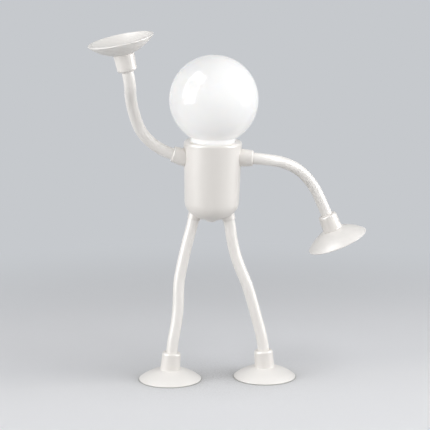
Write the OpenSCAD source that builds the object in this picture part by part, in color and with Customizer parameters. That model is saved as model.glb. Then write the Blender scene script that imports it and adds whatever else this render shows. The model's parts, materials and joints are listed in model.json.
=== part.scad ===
// Figure-shaped desk lamp: a round opal globe on a cup-shaped torso, with two bendable
// arms and two bendable legs that end in suction cups.
// Millimetres, +Z up, -Y is the front. "Left" is the -X side. The origin lies on the
// surface that the lamp stands on, below the middle of the whole figure.

/* [Globe] */
// Diameter of the opal globe
globe_d = 60; // [50:1:70]
// Wall of the globe
globe_wall = 1.2; // [0.8:0.1:2]
// Outer diameter of the globe's neck
neck_d = 31; // [27.5:0.5:31.4]
// Height of the neck that shows above the torso's rim
neck_show = 3.2; // [2:0.1:6]
// Depth of the neck below the rim
neck_depth = 2.6; // [2:0.1:3]

/* [Torso] */
// Height of the torso from its lowest point to the rim
torso_h = 56; // [54:0.5:62]
// Diameter at the rim
rim_d = 40.4; // [40:0.2:44]
// Diameter where the side meets the domed underside
waist_d = 38.2; // [37.6:0.2:40]
// Radius of the round corner between side and underside
corner_r = 11; // [9:0.5:12]
// Radius of the domed underside
floor_r = 24; // [22:0.5:28]
// Wall thickness
torso_wall = 1.8; // [1.4:0.1:2.2]
// Width of the gap around the globe's neck
neck_gap = 0.5; // [0.3:0.1:0.9]
// Radius of the rounded outer lip
lip_r = 1.6; // [0.8:0.1:2]
// Thickness of the inward flange at the rim
flange_t = 2.4; // [1.6:0.1:2.5]
// Lean of the torso towards the front, degrees
lean_front = 2.8; // [0:0.2:5]
// Lean of the torso towards the right, degrees
lean_side = 1.2; // [-2:0.2:3]

/* [Shoulders] */
// Distance of the shoulder sockets below the rim
shoulder_drop = 10.8; // [10.6:0.1:12]
// Distance of each ball centre from the torso's axis
ball_reach = 21.9; // [21.5:0.1:23]
// Radius of the ball end of the collar
ball_r = 7; // [6.6:0.1:7.2]
// Wall of the round socket in the shell
socket_wall = 1.4; // [1:0.1:1.5]
// Turn of each socket towards the front, degrees
socket_front = 6; // [0:1:10]
// Diameter of the collar where it leaves the ball
collar_base_d = 12.2; // [11.5:0.1:12.6]
// Diameter of the collar at its outer end
collar_end_d = 11; // [10.4:0.1:12]
// Length of the collar outside its ball centre
collar_reach = 6.3; // [5.5:0.1:9]
// Radius of the pivot pin's shank
pin_r = 1.5; // [1.2:0.1:1.7]
// Thickness of the dished spring washer
washer_t = 0.8; // [0.5:0.1:1]
// Largest tilt of the collar from its socket, degrees
tilt_limit = 18; // [17:1:19]

/* [Limbs] */
// Outer diameter of the silicone tube
tube_d = 8; // [7:0.1:8]
// Diameter of the wire core
wire_d = 2.4; // [1.6:0.1:3]
// Length of tube held inside a collar
tube_grip = 5; // [3:0.5:5.5]
// Arm stretches: upper arm
upper_arm_l = 20; // [16:1:30]
// Arm stretches: bend at the elbow
elbow_l = 16; // [12:1:20]
// Arm stretches: forearm
forearm_l = 32; // [24:1:40]
// Arm stretches: bend at the wrist
wrist_l = 16; // [12:1:20]
// Leg stretches: bend at the hip
hip_l = 12; // [10:1:16]
// Leg stretches: thigh
thigh_l = 29.3; // [24:0.1:36]
// Leg stretches: bend at the knee
knee_l = 16; // [12:1:20]
// Leg stretches: shin
shin_l = 27; // [22:1:34]
// Leg stretches: bend at the ankle
ankle_l = 14; // [12:1:18]

/* [Hips] */
// Distance of each hip from the torso's axis
hip_out = 11.8; // [11.6:0.1:12.4]
// Height of each hip's middle above the torso's lowest point
hip_up = 2.7; // [2.2:0.1:3]
// Splay of each hip from straight down, degrees
hip_splay = 13; // [10:1:15]
// Outer diameter of the hip collar
hip_ring_d = 9.2; // [8.8:0.1:9.4]
// Length of the hip collar below the hip's middle
hip_ring_show = 2.4; // [1.5:0.1:4]
// Depth of the pocket that holds the hip collar
hip_pocket = 4.9; // [4.5:0.1:5]

/* [Suction cups] */
// Diameter of each cup
cup_d = 44; // [38:0.5:50]
// Height of a foot cup, pressed flat
foot_h = 8.1; // [7.4:0.1:9]
// Height of a hand cup, relaxed
hand_h = 9.7; // [8:0.1:12]
// Wall of a cup
cup_wall = 1.6; // [1.2:0.1:2]
// Thickness of the rounded edge of a cup
cup_edge = 1.1; // [0.8:0.1:1.4]
// Length of the wrist and ankle collars
ferrule_l = 11.8; // [11.4:0.1:16]
// Diameter of those collars at the cup
ferrule_base_d = 14; // [12.5:0.1:16]
// Diameter of those collars at the tube
ferrule_end_d = 13.2; // [12.4:0.1:15]

/* [Button and port] */
// Diameter of the push button
button_d = 7.4; // [6:0.1:8]
// Height of the button below the torso
button_show = 0.6; // [0.4:0.1:1]
// Travel of the button
button_travel = 0.6; // [0.3:0.1:0.8]
// Height of the charging port above the torso's lowest point
port_up = 20; // [18:0.5:26]
// Width of the charging socket
port_w = 8.94; // [8.5:0.02:9.4]
// Height of the charging socket
port_h = 3.2; // [3:0.05:3.6]

/* [Inside] */
// Width of the battery cell
battery_w = 20; // [16:0.5:20]
// Height of the battery cell
battery_h = 24.5; // [18:0.5:24.5]
// Thickness of the battery cell
battery_t = 5.8; // [4:0.1:6.5]
// Thickness of the circuit boards
board_t = 1.2; // [0.8:0.1:1.6]
// Number of LEDs in the ring
led_count = 8; // [6:1:8]

/* [Hidden] */
$fn = 64;

// Clearances
fit = 0.05;          // running fit between round parts
seat = 0.05;         // between faces that rest on each other
tube_gap = 0.25;     // around a tube in a collar's mouth
eps = 0.02;          // lets one cut reach past a face

// Torso, in its own frame: +Z along its axis, 0 at the lowest point
rim_r = rim_d / 2;
waist_r = waist_d / 2;
corner_at = waist_r - corner_r;
// Height of the corner's centre, so that corner and underside meet smoothly
corner_up = floor_r - sqrt(pow(floor_r - corner_r, 2) - pow(corner_at, 2));
mouth_r = neck_d / 2 + neck_gap;
shoulder_up = torso_h - shoulder_drop;
globe_up = torso_h + neck_show + sqrt(pow(globe_d / 2, 2) - pow(neck_d / 2, 2));

// Globe holder and LED board
neck_r = neck_d / 2;
neck_in_r = neck_r - globe_wall - 0.2;
plate_t = 1.2;
plate_top = torso_h - neck_depth - seat;
holder_ring_h = 4.5;
holder_ring_t = 1.2;
holder_ring_r = neck_in_r - fit;
led_board_r = holder_ring_r - holder_ring_t - fit;
led_board_top = plate_top + seat + board_t;
led_size = [2.8, 3.5, 0.7];
post_r = 2.3;
post_h = 6;
rib_t = 1.6;

// Screws inside
screw_r = 1;
screw_l = 6;
screw_head_r = 1.9;
screw_head_h = 1.3;
screw_clear = 0.1;
thread_fit = 0.03;
screw_margin = 0.4;  // from a screw's head to the edge of the LED board
post_at = led_board_r - screw_head_r - screw_margin;
led_ring_r = post_at - screw_head_r - led_size.x / 2 + 0.1;

// Shoulder, along the collar's axis from the ball centre
socket_r = ball_r + fit;
washer_in_r = socket_r + socket_wall + fit;
washer_out_r = washer_in_r + washer_t;
washer_half = 34;
pin_hole_r = pin_r + fit;
pin_head_r = pin_r + 1.4;
pin_head_h = 2.3;
pocket_floor = ball_r - 4;
nut_r = pin_r + 1;
nut_h = 2;
nut_up = sqrt(pow(washer_out_r, 2) - pow(pin_hole_r, 2)) + 0.03;
pin_end = nut_up + nut_h + 0.5;
slot_half = (socket_r + socket_wall) * tan(tilt_limit);
slot_r = pin_r + 0.2;
// Space that the nuts need as the shoulders tilt: its lowest height, and its distance from the torso's axis
nut_clear = 0.4;
nut_low = shoulder_up - (pin_end + nut_clear) * sin(tilt_limit) - nut_r - nut_clear;
nut_from_axis = ball_reach - pin_end - nut_clear;
collar_lip = 0.8;
collar_bore_floor = collar_reach - tube_grip - 0.7;

// Limbs
tube_r = tube_d / 2;
wire_r = wire_d / 2;
core_r = wire_r + fit;
wire_inset = 1;
skin = 0.02;
joint_lap = 0.4;
wire_trim = 0.05;

// Hip, along its axis, + is outwards
hip_ring_r = hip_ring_d / 2;
hip_pocket_r = hip_ring_r + fit;
hip_sleeve_r = hip_pocket_r + 1.35;
hip_floor_t = 1.6;
spigot_r = hip_ring_r - 1.2;
clip_t = 0.8;
clip_r = hip_ring_r + 0.2;
groove_r = spigot_r - 0.7;
groove_at = hip_pocket + hip_floor_t + seat;
spigot_end = groove_at + clip_t + 2 * fit + 0.6;
hip_tube_start = hip_pocket - 1.4;
hip_lip = 0.5;

// Suction cups and their collars
cup_r = cup_d / 2;
ferrule_base_r = ferrule_base_d / 2;
ferrule_end_r = ferrule_end_d / 2;
ferrule_lip = 1.8;
plug_r = ferrule_base_r - 1.8;
plug_h = ferrule_l - tube_grip - 2;
neck_disc_t = 1.5;
hand_bulge = 1.1;
foot_bulge = 1;

// Button, its spring and its switch
button_r = button_d / 2;
button_flange_r = button_r + 0.8;
button_flange_t = 1;
button_flange_up = floor_inside(button_flange_r) + 0.1;
button_stem_r = 1.5;
cradle_up = 12.2;
switch_w = 6;
switch_h = 4;
plunger_r = 1.6;
plunger_h = 0.6;
stem_top = cradle_up - switch_h - plunger_h - button_travel - 0.1;
spring_wire_r = 0.25;
spring_r = button_stem_r + 0.75;
spring_turns = 3;
spring_sides = 6;
spring_steps = 16;

// Battery cradle and control board
cradle_t = 1.2;
cradle_post_at = 11;
cradle_post_r = 2.2;
cradle_r = 14.5;
cradle_wall_y = 1;
cradle_lip_t = 0.9;
cradle_wall_top = cradle_up + cradle_t + battery_h + 0.6;
board_y = 8;
board_w = 20;
board_low = cradle_up + cradle_t + screw_head_h + 0.3;
board_high = cradle_wall_top - 0.3;
stake_r = 0.9;
standoff_r = 1.5;
standoff_x = 8;
standoff_z = [board_low + 2.4, board_high - 3];
port_wall = 0.3;
port_depth = 6.5;
port_recess = 0.7;
tongue = [6.7, 0.7];

// Bends of each limb, one row for each stretch: [degrees of bend, degrees of roll]
left_arm_bends = [[0, 0], [32.4, -32.2], [24.2, 2.3], [24.5, -44.7], [44.1, 154.3]];
right_arm_bends = [[0, 0], [60.1, -104.8], [18.2, -136.4], [47.1, 33.2], [4.1, 87.7]];
left_leg_bends = [[0, 0], [7.5, -79.7], [4.3, -117.5], [11.8, 32.3], [11.8, 165], [8.9, 135]];
right_leg_bends = [[0, 0], [5.1, 15], [19.4, -169.2], [9.7, -177.6], [2.5, -95.3], [10.7, 77.8]];
// Tilt of each shoulder collar in its socket: [up, towards the back of the socket]
left_tilt = 17;
right_tilt = -2;
// Place of the torso's lowest point over the origin, front-back and side to side
torso_at = [-15.2, 11];

arm_lengths = [collar_reach, upper_arm_l, elbow_l, forearm_l, wrist_l];
leg_lengths = [0, hip_l, thigh_l, knee_l, shin_l, ankle_l];

// 4x4 placements
function shift(v) = [[1, 0, 0, v.x], [0, 1, 0, v.y], [0, 0, 1, v.z], [0, 0, 0, 1]];
function about_x(a) = [[1, 0, 0, 0], [0, cos(a), -sin(a), 0], [0, sin(a), cos(a), 0], [0, 0, 0, 1]];
function about_y(a) = [[cos(a), 0, sin(a), 0], [0, 1, 0, 0], [-sin(a), 0, cos(a), 0], [0, 0, 0, 1]];
function about_z(a) = [[cos(a), -sin(a), 0, 0], [sin(a), cos(a), 0, 0], [0, 0, 1, 0], [0, 0, 0, 1]];
function origin_of(m) = [m[0][3], m[1][3], m[2][3]];
function axis_of(m, i) = [m[0][i], m[1][i], m[2][i]];

// Carries a placement from the start to the end of one bent stretch
function bend_r(l, a) = l / (a * PI / 180);
function along(l, a) = a == 0
    ? shift([0, 0, l])
    : shift([bend_r(l, a) * (1 - cos(a)), 0, bend_r(l, a) * sin(a)]) * about_y(a);
// Placement at the start of stretch i, before (rolled = 0) or after its own roll
function station(start, lengths, bends, i, rolled = 1) =
    (i == 0 ? start : station(start, lengths, bends, i - 1) * along(lengths[i - 1], bends[i - 1][0]))
    * (rolled == 1 && i < len(bends) ? about_z(bends[i][1]) : about_z(0));
// Placement in the middle of stretch i, where a limb bends when it is moved
function bend_at(start, lengths, bends, i) =
    station(start, lengths, bends, i) * along(lengths[i] / 2, bends[i][0] / 2);

// Torso, sockets and hips. side is 1 on the right and -1 on the left
torso_turn = about_y(lean_side) * about_x(lean_front);
function socket(side) =
    shift([0, 0, shoulder_up])
    * about_z(side > 0 ? -socket_front : 180 + socket_front)
    * shift([ball_reach, 0, 0]) * about_y(90) * about_z(180);
function hip(side) = shift([side * hip_out, 0, hip_up]) * about_y(180 - side * hip_splay);
// Placement of a foot's neck, over its cup, when the leg hangs from the torso's lowest point
function foot_neck(side, lengths, bends) =
    torso_turn * station(hip(side), lengths, bends, len(lengths), 0) * shift([0, 0, ferrule_l + neck_disc_t]);
// The left leg sets the torso's height: its foot stands on the surface at Z = 0
neck_up = foot_h - neck_disc_t;
left_drop = neck_up - origin_of(foot_neck(-1, leg_lengths, left_leg_bends)).z;
// Both feet stand flat, so the right thigh takes up what its own bends leave over
right_drop = neck_up - origin_of(foot_neck(1, leg_lengths, right_leg_bends)).z;
function stretch_drop(side, lengths, bends, i) =
    origin_of(torso_turn * station(hip(side), lengths, bends, i, 0)).z
    - origin_of(torso_turn * station(hip(side), lengths, bends, i + 1, 0)).z;
right_thigh_l = thigh_l * (1 + (left_drop - right_drop) / stretch_drop(1, leg_lengths, right_leg_bends, 2));
right_leg_lengths = [0, hip_l, right_thigh_l, knee_l, shin_l, ankle_l];

torso = shift([torso_at.x, torso_at.y, left_drop]) * torso_turn;
left_collar = torso * socket(-1) * about_y(left_tilt);
right_collar = torso * socket(1) * about_y(right_tilt);
left_hip_place = torso * hip(-1);
right_hip_place = torso * hip(1);

// Inner height of the domed underside at radius r
function floor_inside(r) = floor_r - sqrt(pow(floor_r - torso_wall, 2) - r * r);
// Outer radius of the torso's side at height z
function side_at(z) = waist_r + (rim_r - waist_r) * (z - corner_up) / (torso_h - corner_up);

// ---------------------------------------------------------------- profiles

// The torso's outline from the axis outwards, drawn inset by t
module torso_outline(t) {
    ray = [0, floor_r] + [corner_at, corner_up - floor_r] * 1.5 * floor_r / (floor_r - corner_r);
    intersection() {
        union() {
            // Domed underside, up to the ray through the corner's centre
            intersection() {
                translate([0, floor_r]) circle(r = floor_r - t);
                polygon([[0, floor_r], [0, ray.y], ray]);
            }
            translate([corner_at, corner_up]) circle(r = corner_r - t);
            polygon([[0, corner_up - corner_r + t + 0.5], [corner_at, corner_up - corner_r + t + 0.5],
                [corner_at, corner_up], [waist_r - t, corner_up], [rim_r - t, torso_h - lip_r],
                [0, torso_h - lip_r]]);
        }
        square([rim_r, torso_h]);
    }
}

// Round-ended slot for a charging plug, inset by t
module port_outline(t) {
    for (s = [-1, 1])
        translate([s * (port_w - port_h) / 2, 0]) circle(r = port_h / 2 - t);
    square([port_w - port_h, port_h - 2 * t], center = true);
}

// Straight tube from z = low to z = high, a hair thinner than the bends that it runs into
module straight(low, high, r, core = 0) {
    translate([0, 0, low]) difference() {
        cylinder(h = high - low, r = r - skin);
        if (core > 0) translate([0, 0, -1]) cylinder(h = high - low + 2, r = core + skin);
    }
}

// Tube along one bent stretch, r outside and core inside, cut back by trim at each end
module bent(l, a, r, core = 0, trim = 0) {
    cut = a * trim / l;
    translate([bend_r(l, a), 0, 0]) rotate([90, 0, 180]) rotate([0, 0, cut])
        rotate_extrude(angle = a - 2 * cut) translate([bend_r(l, a), 0])
            difference() {
                circle(r = r);
                if (core > 0) circle(r = core);
            }
}

// Stretch i of a limb's silicone tube, with straight ends held in collars
module tube(start, lengths, bends, i, lead = 0, tail = 0) {
    color("whitesmoke") {
        multmatrix(station(start, lengths, bends, i)) {
            bent(lengths[i], bends[i][0], tube_r, core_r);
            if (lead > 0) straight(-lead, joint_lap, tube_r, core_r);
        }
        if (tail > 0)
            multmatrix(station(start, lengths, bends, i + 1, 0))
                straight(-joint_lap, tail, tube_r, core_r);
    }
}

// Wire core of a limb, from inside its first collar to inside its last
module wire(start, lengths, bends, lead) {
    last = len(lengths);
    color("lightgray") {
        multmatrix(start) translate([0, 0, lengths[0]]) straight(-lead, joint_lap, wire_r);
        for (i = [1 : last - 1]) {
            multmatrix(station(start, lengths, bends, i)) bent(lengths[i], bends[i][0], wire_r, 0, wire_trim);
            if (i > 1)
                multmatrix(station(start, lengths, bends, i)) straight(-joint_lap, joint_lap, wire_r);
        }
        multmatrix(station(start, lengths, bends, last, 0))
            straight(-joint_lap, tube_grip - wire_inset, wire_r);
    }
}

// ---------------------------------------------------------------- torso

module in_torso() {
    multmatrix(torso) children();
}

// Pair of screw posts on the front and back, joined to the wall by ribs
module posts(at, r, low, high, rib_to) {
    for (s = [-1, 1]) {
        translate([0, s * at, low]) cylinder(h = high - low, r = r);
        translate([-rib_t / 2, s > 0 ? at : -rib_to, low]) cube([rib_t, rib_to - at, high - low]);
    }
}

module torso_shell() {
    post_top = plate_top - plate_t - seat;
    color("ivory") in_torso() difference() {
        union() {
            // Shell with its rounded lip and inward flange, its seam turned clear of the sockets
            rotate([0, 0, 45]) rotate_extrude() difference() {
                union() {
                    torso_outline(0);
                    translate([0, torso_h - lip_r - 0.5]) square([rim_r - lip_r, lip_r + 0.5]);
                    translate([rim_r - lip_r, torso_h - lip_r]) circle(r = lip_r);
                }
                intersection() {
                    torso_outline(torso_wall);
                    square([rim_r, torso_h - flange_t]);
                }
                translate([0, torso_h - flange_t - 1]) square([mouth_r, flange_t + 2]);
            }
            // Sockets, sleeves and posts, which run into the wall
            intersection() {
                rotate([0, 0, 45]) rotate_extrude() torso_outline(torso_wall / 4);
                union() {
                    for (side = [-1, 1]) {
                        multmatrix(socket(side)) sphere(r = socket_r + socket_wall);
                        multmatrix(hip(side)) translate([0, 0, -hip_pocket - hip_floor_t])
                            cylinder(h = hip_pocket + hip_floor_t + corner_r, r = hip_sleeve_r);
                    }
                    posts(post_at, post_r, post_top - post_h, post_top, rim_r - torso_wall / 2);
                    posts(cradle_post_at, cradle_post_r, 1, cradle_up - seat, waist_r - torso_wall / 2);
                }
            }
        }
        for (side = [-1, 1]) {
            // Round socket, and the slot that lets the pin tilt up and down
            multmatrix(socket(side)) {
                rotate([0, 0, 45]) sphere(r = socket_r);
                translate([0, 0, -washer_out_r]) {
                    translate([-slot_half, -slot_r, 0]) cube([2 * slot_half, 2 * slot_r, washer_out_r]);
                    for (s = [-1, 1])
                        translate([s * slot_half, 0, 0]) cylinder(h = washer_out_r, r = slot_r);
                }
            }
            // Pocket for the hip collar, and the hole for its spigot
            multmatrix(hip(side)) {
                translate([0, 0, -hip_pocket]) cylinder(h = hip_pocket + corner_r, r = hip_pocket_r);
                translate([0, 0, -hip_pocket - hip_floor_t - 1])
                    cylinder(h = hip_floor_t + 2, r = spigot_r + fit);
            }
        }
        // Screw holes, button hole and charging slot
        for (s = [-1, 1]) {
            translate([0, s * post_at, post_top - screw_l + 1]) cylinder(h = screw_l, r = screw_r + thread_fit);
            translate([0, s * cradle_post_at, cradle_up - screw_l + 1])
                cylinder(h = screw_l, r = screw_r + thread_fit);
        }
        translate([0, 0, -1]) cylinder(h = 4, r = button_r + 0.15);
        translate([0, waist_r - torso_wall - 1, port_up]) rotate([-90, 0, 0])
            linear_extrude(torso_wall + 3) port_outline(-0.3);
    }
}

module globe() {
    color("white") in_torso() rotate_extrude() difference() {
        intersection() {
            union() {
                translate([0, globe_up]) circle(r = globe_d / 2);
                translate([0, torso_h - neck_depth]) square([neck_r, globe_up - torso_h]);
            }
            square([globe_d, globe_up + globe_d]);
        }
        translate([0, globe_up]) circle(r = globe_d / 2 - globe_wall);
        translate([0, torso_h - neck_depth - 1]) square([neck_in_r, globe_up - torso_h]);
    }
}

module globe_holder() {
    color("white") in_torso() difference() {
        union() {
            translate([0, 0, plate_top - plate_t]) cylinder(h = plate_t, r = neck_r + 0.1);
            translate([0, 0, plate_top - plate_t]) cylinder(h = plate_t + holder_ring_h, r = holder_ring_r);
        }
        translate([0, 0, plate_top]) cylinder(h = holder_ring_h + 1, r = holder_ring_r - holder_ring_t);
        for (s = [-1, 1])
            translate([0, s * post_at, plate_top - plate_t - 1])
                cylinder(h = plate_t + 2, r = screw_r + screw_clear);
    }
}

module led_board() {
    color("gainsboro") in_torso() translate([0, 0, plate_top + seat]) difference() {
        cylinder(h = board_t, r = led_board_r);
        for (s = [-1, 1])
            translate([0, s * post_at, -1]) cylinder(h = board_t + 2, r = screw_r + screw_clear);
    }
}

module led_chips() {
    color("khaki") in_torso() translate([0, 0, led_board_top]) {
        for (i = [0 : led_count - 1])
            rotate([0, 0, (i + 0.5) * 360 / led_count]) translate([led_ring_r, 0, led_size.z / 2])
                cube(led_size, center = true);
        translate([0, 0, led_size.z / 2]) cube(led_size, center = true);
    }
}

// Pan-head screw with its seat at the origin, shank down
module screw() {
    translate([0, 0, -screw_l]) cylinder(h = screw_l + eps, r = screw_r);
    difference() {
        cylinder(h = screw_head_h, r = screw_head_r);
        for (a = [0, 90])
            rotate([0, 0, a]) translate([-1.2, -0.2, 0.7]) cube([2.4, 0.4, 1]);
    }
}

module inner_screws() {
    color("silver") in_torso() for (s = [-1, 1]) {
        translate([0, s * post_at, led_board_top]) screw();
        translate([0, s * cradle_post_at, cradle_up + cradle_t]) screw();
    }
}

// ---------------------------------------------------------------- inside the torso

module battery_cradle() {
    half = battery_w / 2 + fit;
    color("white") in_torso() difference() {
        union() {
            intersection() {
                translate([0, 0, cradle_up]) cylinder(h = cradle_t, r = cradle_r);
                translate([-half - cradle_lip_t, -cradle_r, cradle_up])
                    cube([2 * (half + cradle_lip_t), 2 * cradle_r, cradle_t]);
            }
            // Upright wall with a lip on each side of the cell
            translate([-half - cradle_lip_t, cradle_wall_y, cradle_up])
                cube([2 * (half + cradle_lip_t), cradle_t, cradle_wall_top - cradle_up]);
            for (s = [0, 1])
                translate([s * (2 * half + cradle_lip_t) - half - cradle_lip_t,
                    cradle_wall_y - battery_t, cradle_up])
                    cube([cradle_lip_t, battery_t + cradle_t, cradle_wall_top - cradle_up]);
            // Standoffs with stakes that the control board slips over
            for (x = [-standoff_x, standoff_x], z = standoff_z)
                translate([x, cradle_wall_y + cradle_t / 2, z]) rotate([-90, 0, 0]) {
                    cylinder(h = board_y - cradle_wall_y - cradle_t / 2 - seat, r = standoff_r);
                    cylinder(h = board_y + board_t + 0.7 - cradle_wall_y - cradle_t / 2, r = stake_r);
                }
        }
        for (s = [-1, 1])
            translate([0, s * cradle_post_at, cradle_up - 1])
                cylinder(h = cradle_t + 2, r = screw_r + screw_clear);
        // Corners cut away where a low torso brings the shoulder nuts down beside the wall
        if (nut_low < cradle_wall_top)
            for (s = [-1, 1])
                translate([s > 0 ? nut_from_axis : -nut_from_axis - cradle_r, -cradle_r, nut_low])
                    cube([cradle_r, 2 * cradle_r, cradle_wall_top - nut_low + 1]);
    }
}

module battery_cell() {
    r = battery_t / 2;
    low = cradle_up + cradle_t + seat;
    color("lightsteelblue") in_torso() translate([0, cradle_wall_y - r - seat, low]) {
        for (s = [-1, 1])
            translate([s * (battery_w / 2 - r), 0, 0]) cylinder(h = battery_h, r = r - seat);
        translate([-battery_w / 2 + r, -r + seat, 0])
            cube([battery_w - 2 * r, battery_t - 2 * seat, battery_h]);
    }
}

module control_board() {
    color("seagreen") in_torso() difference() {
        translate([-board_w / 2, board_y, board_low]) cube([board_w, board_t, board_high - board_low]);
        for (x = [-standoff_x, standoff_x], z = standoff_z)
            translate([x, board_y - 1, z]) rotate([-90, 0, 0])
                cylinder(h = board_t + 2, r = stake_r + screw_clear);
    }
}

// Parts on the board: [middle x, middle z, width, height, thickness]
board_layout = [[0, 31, 5, 5, 1], [-3.5, 26, 3, 3, 1.6], [4, 26, 2, 4, 1.2], [0, 35.5, 3, 1.6, 0.8]];

module board_parts() {
    color("dimgray") in_torso() for (p = board_layout)
        translate([p[0] - p[2] / 2, board_y + board_t + eps / 2, p[1] - p[3] / 2])
            cube([p[2], p[4], p[3]]);
}

module usb_socket() {
    face = side_at(port_up) - port_recess;
    back = board_y + board_t + eps / 2;
    color("silver") in_torso() translate([0, back, port_up]) rotate([-90, 0, 0]) {
        difference() {
            linear_extrude(face - back) port_outline(0);
            translate([0, 0, face - back - port_depth]) linear_extrude(port_depth + 1)
                port_outline(port_wall);
        }
        translate([-tongue.x / 2, -tongue.y / 2, face - back - port_depth - 0.5])
            cube([tongue.x, tongue.y, port_depth - 0.5]);
    }
}

module push_switch() {
    color("darkslategray") in_torso() {
        translate([-switch_w / 2, -switch_w / 2, cradle_up - switch_h - seat])
            cube([switch_w, switch_w, switch_h]);
        translate([0, 0, cradle_up - switch_h - plunger_h - seat]) cylinder(h = plunger_h + 1, r = plunger_r);
    }
}

module power_button() {
    color("white") in_torso() rotate_extrude() {
        // Face with a rounded edge, flange that stops it, and stem
        difference() {
            translate([0, -button_show]) square([button_r, button_flange_up + button_show + eps]);
            translate([button_r - 0.4, -button_show]) difference() {
                translate([0, -0.1]) square([0.5, 0.5]);
                translate([0, 0.4]) circle(r = 0.4);
            }
        }
        translate([0, button_flange_up]) square([button_flange_r, button_flange_t]);
        square([button_stem_r, stem_top]);
    }
}

// Round wire wound up a helix, closed at both ends
module coil(r, wire_radius, height, turns, sides, steps) {
    rings = turns * steps;
    points = [for (i = [0 : rings], j = [0 : sides - 1])
        let (a = 360 * i / steps, b = 360 * j / sides, rad = r + wire_radius * cos(b))
        [rad * cos(a), rad * sin(a), height * i / rings + wire_radius * sin(b)]];
    walls = [for (i = [0 : rings - 1], j = [0 : sides - 1])
        let (k = (j + 1) % sides)
        [i * sides + j, i * sides + k, (i + 1) * sides + k, (i + 1) * sides + j]];
    caps = [[for (j = [sides - 1 : -1 : 0]) j], [for (j = [0 : sides - 1]) rings * sides + j]];
    polyhedron(points = points, faces = concat(walls, caps), convexity = turns * 2);
}

module button_spring() {
    low = button_flange_up + button_flange_t + spring_wire_r + seat;
    high = cradle_up - switch_h - seat - spring_wire_r - seat;
    color("silver") in_torso() translate([0, 0, low])
        coil(spring_r, spring_wire_r, high - low, spring_turns, spring_sides, spring_steps);
}

// ---------------------------------------------------------------- shoulders

module shoulder_washer(place) {
    color("silver") multmatrix(place) rotate_extrude() difference() {
        intersection() {
            circle(r = washer_out_r);
            polygon([[0, 0], [washer_out_r * 2 * tan(washer_half), -washer_out_r * 2],
                [0, -washer_out_r * 2]]);
        }
        circle(r = washer_in_r);
        translate([0, -washer_out_r * 2]) square([pin_hole_r, washer_out_r * 2]);
    }
}

module shoulder_pin(place) {
    color("silver") multmatrix(place) {
        translate([0, 0, -pin_end]) cylinder(h = pin_end - pocket_floor + 0.5, r = pin_r);
        difference() {
            translate([0, 0, -pocket_floor + seat]) cylinder(h = pin_head_h, r = pin_head_r);
            translate([0, 0, -pocket_floor + pin_head_h - 1]) cylinder(h = 2, r = 1.2, $fn = 6);
        }
    }
}

module shoulder_nut(place) {
    color("silver") multmatrix(place) translate([0, 0, -nut_up - nut_h]) difference() {
        cylinder(h = nut_h, r = nut_r, $fn = 6);
        translate([0, 0, -1]) cylinder(h = nut_h + 2, r = pin_r + thread_fit);
    }
}

module shoulder_collar(place) {
    base_r = collar_base_d / 2;
    end_r = collar_end_d / 2;
    color("ivory") multmatrix(place) rotate_extrude() difference() {
        union() {
            intersection() {
                circle(r = ball_r);
                translate([0, -ball_r]) square([base_r, ball_r]);
            }
            polygon([[0, -eps], [base_r, -eps], [end_r, collar_reach - collar_lip],
                [end_r - collar_lip, collar_reach], [0, collar_reach]]);
            translate([end_r - collar_lip, collar_reach - collar_lip]) circle(r = collar_lip);
        }
        translate([0, collar_bore_floor]) square([tube_r + tube_gap, collar_reach]);
        translate([0, -pocket_floor]) square([pin_head_r + 0.2, pocket_floor + collar_bore_floor + 1]);
        translate([0, -ball_r - 1]) square([pin_hole_r, ball_r + 1]);
    }
}

// ---------------------------------------------------------------- hips

module hip_collar(place) {
    color("ivory") multmatrix(place) rotate_extrude() difference() {
        union() {
            translate([0, -hip_pocket + seat]) square([hip_ring_r, hip_pocket - seat + hip_ring_show - hip_lip]);
            square([hip_ring_r - hip_lip, hip_ring_show]);
            translate([hip_ring_r - hip_lip, hip_ring_show - hip_lip]) circle(r = hip_lip);
            translate([0, -spigot_end]) square([spigot_r, spigot_end]);
        }
        translate([0, -hip_tube_start]) square([tube_r + fit, hip_tube_start + hip_ring_show + 1]);
        translate([0, -spigot_end + 1]) square([core_r, spigot_end]);
        translate([groove_r, -groove_at - clip_t - 2 * fit]) square([spigot_r, clip_t + 2 * fit]);
    }
}

module hip_clip(place) {
    color("silver") multmatrix(place) translate([0, 0, -groove_at - clip_t - fit]) difference() {
        cylinder(h = clip_t, r = clip_r);
        translate([0, 0, -1]) cylinder(h = clip_t + 2, r = groove_r + fit);
        translate([0, -groove_r * 0.8, -1]) cube([clip_r + 1, groove_r * 1.6, clip_t + 2]);
    }
}

// ---------------------------------------------------------------- suction cups

// Arc from a to b that bulges by s to the left of the way from a to b, as a filled slice
module bulge(a, b, s) {
    d = b - a;
    l = norm(d);
    n = [-d.y, d.x] / l;
    r = (l * l / 4 + s * s) / (2 * s);
    intersection() {
        translate((a + b) / 2 + n * (s - r)) circle(r = r, $fn = 180);
        polygon([a, b, b + n * 2 * s, a + n * 2 * s]);
    }
}

// Half section of a cup's wall, rim at z = 0, landing for the collar at z = h
module cup_section(h, s) {
    land = ferrule_base_r + 0.2;
    edge = cup_edge / 2;
    inner_top = h - cup_wall - 0.6;
    inner_rim = cup_r - cup_edge * 1.6;
    difference() {
        union() {
            polygon([[0, edge], [0, h], [land, h], [cup_r - edge * 0.6, edge * 1.8], [cup_r - edge, edge]]);
            bulge([land, h], [cup_r - edge * 0.6, edge * 1.8], s);
            translate([cup_r - edge, edge]) circle(r = edge);
            translate([0, 0]) square([cup_r - edge, edge + eps]);
        }
        polygon([[-1, -1], [-1, inner_top], [land * 0.6, inner_top], [inner_rim, -eps], [inner_rim, -1]]);
        bulge([land * 0.6, inner_top], [inner_rim, -eps], s);
    }
}

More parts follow.
